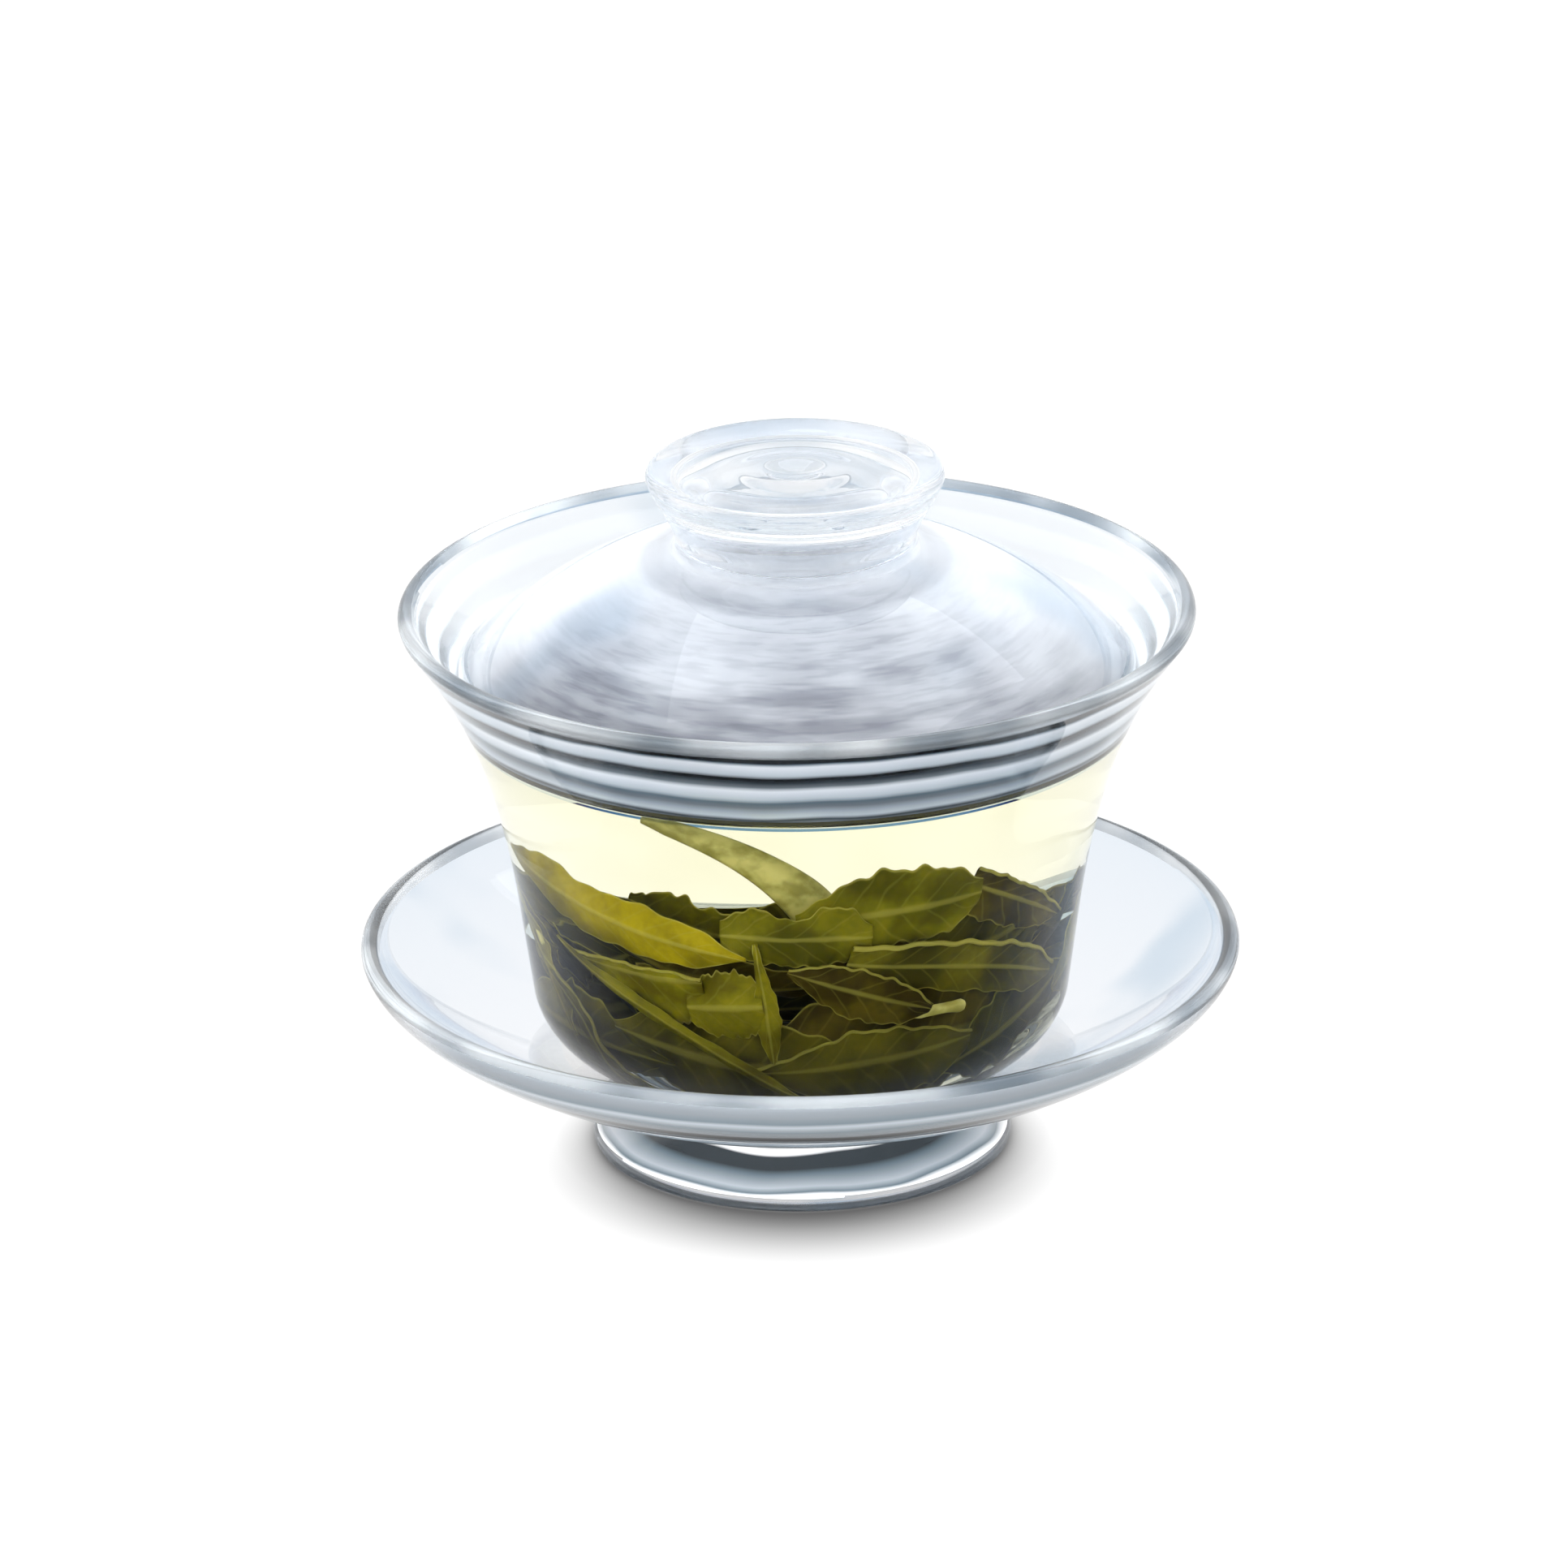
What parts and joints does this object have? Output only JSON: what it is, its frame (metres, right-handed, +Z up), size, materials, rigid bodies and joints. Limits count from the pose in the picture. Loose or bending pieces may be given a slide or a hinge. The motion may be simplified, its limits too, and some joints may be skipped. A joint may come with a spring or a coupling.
{
  "type": "gaiwan",
  "caption": "Clear glass gaiwan: a flared tea bowl with a domed lid and hollow knob, on a deep saucer with a flared foot, holding pale tea and steeped green leaves.",
  "frame": {"origin": "on the table under the centre of the saucer's foot", "axes": "+Z up along the common axis of saucer, bowl and lid, front towards -Y, +X to the right seen from the front"},
  "size_m": [0.1088, 0.1088, 0.0883],
  "materials": {
    "clear_glass": "clear, hand-blown",
    "tea": "clear pale yellow liquid",
    "leaf": "wet satin",
    "stem": "wet satin"
  },
  "bodies": {
    "saucer": {"saucer_dish": "clear_glass", "saucer_foot": "clear_glass"},
    "bowl": {"bowl_body": "clear_glass", "bowl_foot": "clear_glass", "tea_liquor": "tea", "tea_leaf_01": "leaf", "tea_leaf_02": "leaf", "tea_leaf_03": "leaf", "tea_leaf_04": "leaf", "tea_leaf_05": "leaf", "tea_leaf_06": "leaf", "tea_leaf_07": "leaf", "tea_leaf_08": "leaf", "tea_leaf_09": "leaf", "tea_leaf_10": "leaf", "tea_leaf_11": "leaf", "tea_leaf_12": "leaf", "tea_leaf_13": "leaf", "tea_leaf_14": "leaf", "tea_leaf_15": "leaf", "tea_leaf_16": "leaf", "tea_leaf_17": "leaf", "tea_leaf_18": "leaf", "tea_leaf_19": "leaf", "tea_leaf_20": "leaf", "tea_leaf_21": "leaf", "tea_leaf_22": "leaf", "tea_leaf_23": "leaf", "tea_leaf_24": "leaf", "tea_leaf_25": "leaf", "tea_leaf_26": "leaf", "tea_leaf_27": "leaf", "tea_leaf_28": "leaf", "tea_leaf_29": "leaf", "tea_leaf_30": "leaf", "tea_leaf_31": "leaf", "tea_leaf_32": "leaf", "tea_leaf_33": "leaf", "tea_leaf_34": "leaf", "tea_leaf_35": "leaf", "tea_leaf_36": "leaf", "tea_leaf_37": "leaf", "tea_leaf_38": "leaf", "tea_leaf_39": "leaf", "tea_leaf_40": "leaf", "tea_leaf_41": "leaf", "tea_leaf_42": "leaf", "tea_leaf_43": "leaf", "tea_leaf_44": "leaf", "tea_leaf_45": "leaf", "tea_leaf_46": "leaf", "tea_leaf_47": "leaf", "tea_leaf_48": "leaf", "tea_leaf_49": "leaf", "tea_stem_01": "stem", "tea_stem_02": "stem", "tea_stem_03": "stem", "tea_stem_04": "stem"},
    "lid": {"lid_dome": "clear_glass", "lid_knob": "clear_glass"}
  },
  "joints": [
    {"name": "bowl_lift", "type": "slide", "parent": "saucer", "child": "bowl", "axis": [0, 0, 1], "range_m": [0, 0.045]},
    {"name": "lid_lift", "type": "slide", "parent": "bowl", "child": "lid", "axis": [0, 0, 1], "range_m": [0, 0.035]}
  ]
}
